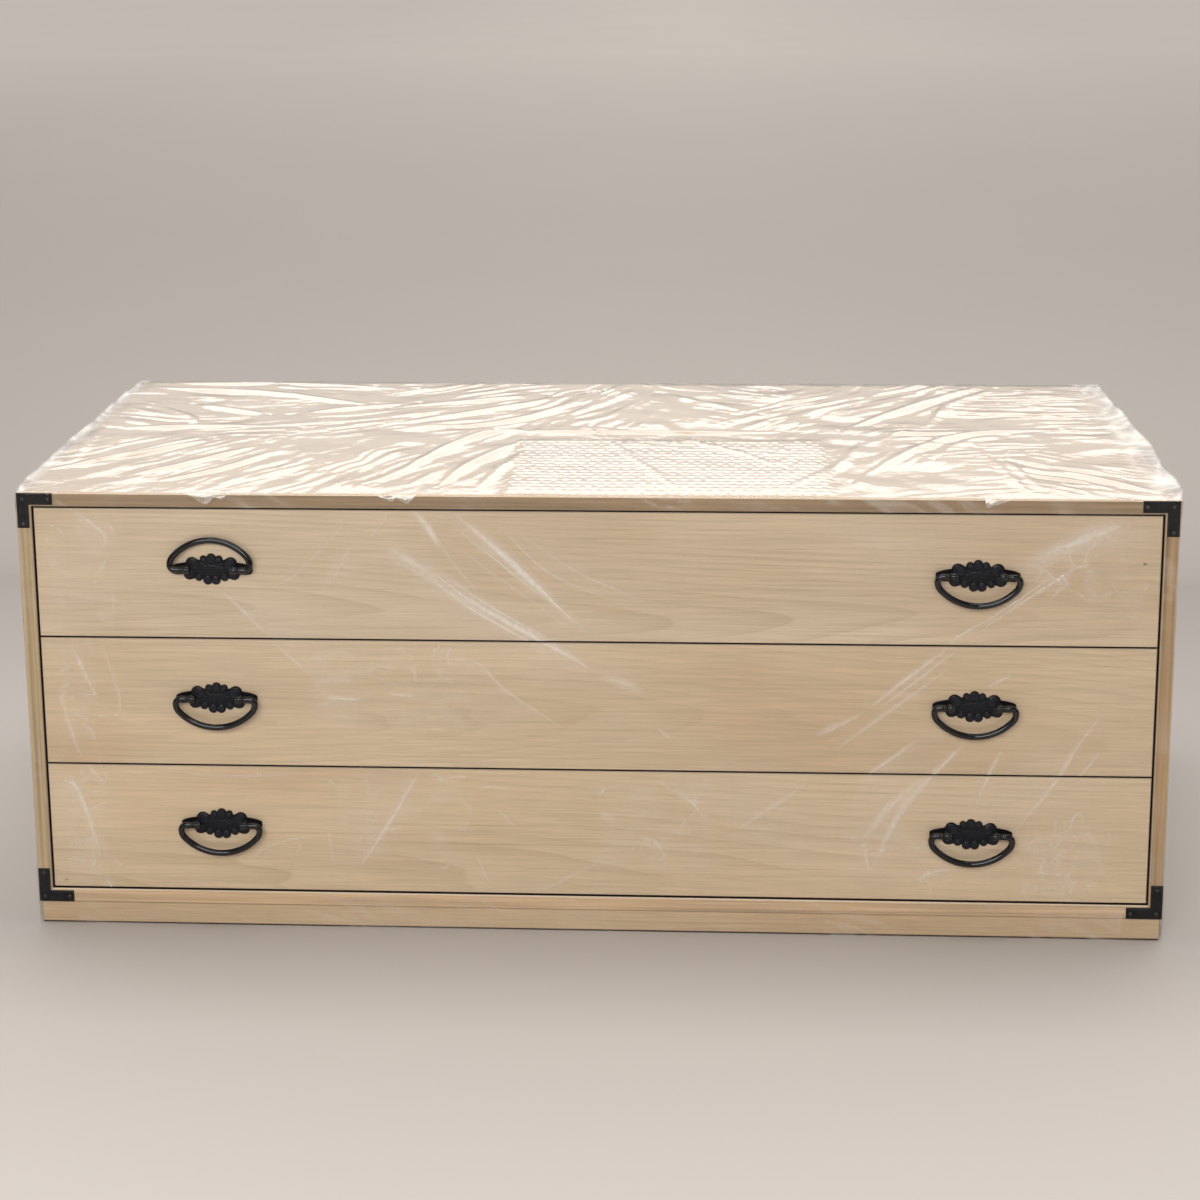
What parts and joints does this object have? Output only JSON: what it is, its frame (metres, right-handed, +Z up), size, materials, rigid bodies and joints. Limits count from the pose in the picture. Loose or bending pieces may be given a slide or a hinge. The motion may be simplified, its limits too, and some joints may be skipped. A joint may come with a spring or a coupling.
{
  "type": "clothing chest",
  "caption": "Low wide wooden clothing chest with full-width drawers, iron corner brackets, scalloped plates with drop bail handles, wrapped in clear film.",
  "frame": {"origin": "on the floor under the middle of the case, at the middle of the underside of the plinth's stretcher", "axes": "+X to the right as seen from the front, +Y to the back, +Z up; the drawers open towards -Y"},
  "size_m": [1.0512, 0.4609, 0.4259],
  "materials": {
    "case_wood": "bare, planed",
    "drawer_front_wood": "bare, planed",
    "inner_wood": "bare, sawn and planed",
    "peg_wood": "bare end grain",
    "black_iron": "black lacquered",
    "wrap_film": "clear, wrinkled",
    "bubble_film": "clear, bubbled"
  },
  "bodies": {
    "case": {"top_panel": "case_wood", "bottom_panel": "case_wood", "side_panel_left": "case_wood", "side_panel_right": "case_wood", "back_panel": "inner_wood", "dust_panel_upper": "inner_wood", "dust_panel_lower": "inner_wood", "plinth_front": "case_wood", "plinth_back": "case_wood", "plinth_left": "case_wood", "plinth_right": "case_wood", "plinth_stretcher": "inner_wood", "corner_bracket_top_left": "black_iron", "corner_bracket_top_right": "black_iron", "corner_bracket_bottom_left": "black_iron", "corner_bracket_bottom_right": "black_iron", "bracket_nails": "black_iron", "case_pegs": "peg_wood", "film_wrap": "wrap_film", "bubble_sheet": "bubble_film"},
    "drawer_top": {"drawer_top_front": "drawer_front_wood", "drawer_top_back": "inner_wood", "drawer_top_bottom": "inner_wood", "drawer_top_side_left": "inner_wood", "drawer_top_side_right": "inner_wood", "drawer_top_pegs": "peg_wood", "handle_plate_top_left": "black_iron", "handle_posts_top_left": "black_iron", "handle_plate_top_right": "black_iron", "handle_posts_top_right": "black_iron", "film_drawer_top": "wrap_film"},
    "bail_top_left": {"handle_bail_top_left": "black_iron"},
    "bail_top_right": {"handle_bail_top_right": "black_iron"},
    "drawer_middle": {"drawer_middle_front": "drawer_front_wood", "drawer_middle_back": "inner_wood", "drawer_middle_bottom": "inner_wood", "drawer_middle_side_left": "inner_wood", "drawer_middle_side_right": "inner_wood", "drawer_middle_pegs": "peg_wood", "handle_plate_middle_left": "black_iron", "handle_posts_middle_left": "black_iron", "handle_plate_middle_right": "black_iron", "handle_posts_middle_right": "black_iron", "film_drawer_middle": "wrap_film"},
    "bail_middle_left": {"handle_bail_middle_left": "black_iron"},
    "bail_middle_right": {"handle_bail_middle_right": "black_iron"},
    "drawer_bottom": {"drawer_bottom_front": "drawer_front_wood", "drawer_bottom_back": "inner_wood", "drawer_bottom_bottom": "inner_wood", "drawer_bottom_side_left": "inner_wood", "drawer_bottom_side_right": "inner_wood", "drawer_bottom_pegs": "peg_wood", "handle_plate_bottom_left": "black_iron", "handle_posts_bottom_left": "black_iron", "handle_plate_bottom_right": "black_iron", "handle_posts_bottom_right": "black_iron", "film_drawer_bottom": "wrap_film"},
    "bail_bottom_left": {"handle_bail_bottom_left": "black_iron"},
    "bail_bottom_right": {"handle_bail_bottom_right": "black_iron"}
  },
  "joints": [
    {"name": "drawer_top_slide", "type": "slide", "parent": "case", "child": "drawer_top", "axis": [0, -1, 0], "range_m": [0, 0.36]},
    {"name": "bail_top_left_hinge", "type": "hinge", "parent": "drawer_top", "child": "bail_top_left", "pos_m": [-0.348, -0.2315, 0.35217], "axis": [1, 0, 0], "range_deg": [0, 196]},
    {"name": "bail_top_right_hinge", "type": "hinge", "parent": "drawer_top", "child": "bail_top_right", "pos_m": [0.348, -0.2315, 0.35217], "axis": [-1, 0, 0], "range_deg": [-8, 188]},
    {"name": "drawer_middle_slide", "type": "slide", "parent": "case", "child": "drawer_middle", "axis": [0, -1, 0], "range_m": [0, 0.36]},
    {"name": "bail_middle_left_hinge", "type": "hinge", "parent": "drawer_middle", "child": "bail_middle_left", "pos_m": [-0.348, -0.2315, 0.228], "axis": [-1, 0, 0], "range_deg": [-8, 188]},
    {"name": "bail_middle_right_hinge", "type": "hinge", "parent": "drawer_middle", "child": "bail_middle_right", "pos_m": [0.348, -0.2315, 0.228], "axis": [-1, 0, 0], "range_deg": [-8, 188]},
    {"name": "drawer_bottom_slide", "type": "slide", "parent": "case", "child": "drawer_bottom", "axis": [0, -1, 0], "range_m": [0, 0.36]},
    {"name": "bail_bottom_left_hinge", "type": "hinge", "parent": "drawer_bottom", "child": "bail_bottom_left", "pos_m": [-0.348, -0.2315, 0.10383], "axis": [-1, 0, 0], "range_deg": [-8, 188]},
    {"name": "bail_bottom_right_hinge", "type": "hinge", "parent": "drawer_bottom", "child": "bail_bottom_right", "pos_m": [0.348, -0.2315, 0.10383], "axis": [-1, 0, 0], "range_deg": [-8, 188]}
  ]
}
